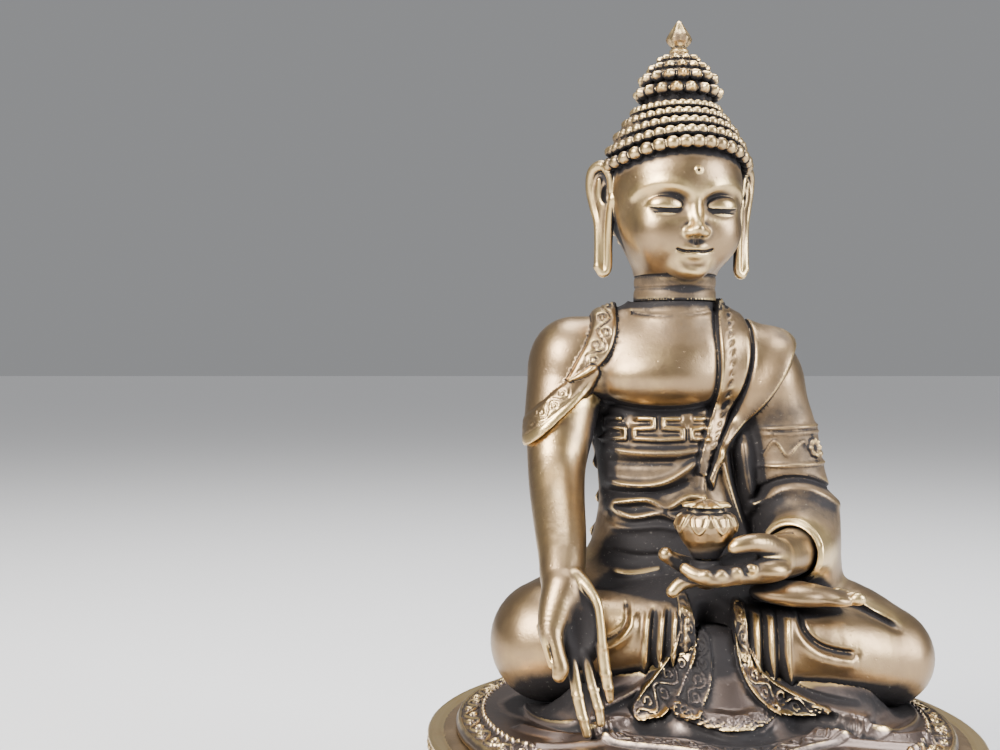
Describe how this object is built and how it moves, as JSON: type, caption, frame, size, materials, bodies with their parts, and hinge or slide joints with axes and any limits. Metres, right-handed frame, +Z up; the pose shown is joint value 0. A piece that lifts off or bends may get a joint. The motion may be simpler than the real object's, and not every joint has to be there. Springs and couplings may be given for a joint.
{
  "type": "seated buddha statue",
  "caption": "Seated robed figure with one hand reaching down and a bowl in the other, cast in sections on a round lotus pedestal.",
  "frame": {"origin": "centre of the pedestal's foot, on the plane it rests on", "axes": "+Z up through the figure, -Y the way the figure faces, +X towards the figure's left hand"},
  "size_m": [0.1254, 0.1254, 0.2015],
  "materials": {
    "cast_brass": "aged satin, polished on the high spots and dark brown in the recesses",
    "dark_brass": "aged, mostly dark patina",
    "dowel_brass": "drawn rod, dull",
    "sealing_plate": "reddish hammered sheet, dull"
  },
  "bodies": {
    "root": {"lotus_base": "cast_brass", "bead_rim": "cast_brass", "base_plate": "sealing_plate", "robe_spread": "dark_brass", "body": "cast_brass", "head": "cast_brass", "crown_jewel": "cast_brass", "right_arm": "cast_brass", "left_hand": "cast_brass", "alms_bowl": "cast_brass", "seat_pin_right": "dowel_brass", "seat_pin_left": "dowel_brass", "neck_dowel": "dowel_brass", "shoulder_dowel": "dowel_brass", "wrist_dowel": "dowel_brass", "bowl_dowel": "dowel_brass"}
  },
  "joints": []
}
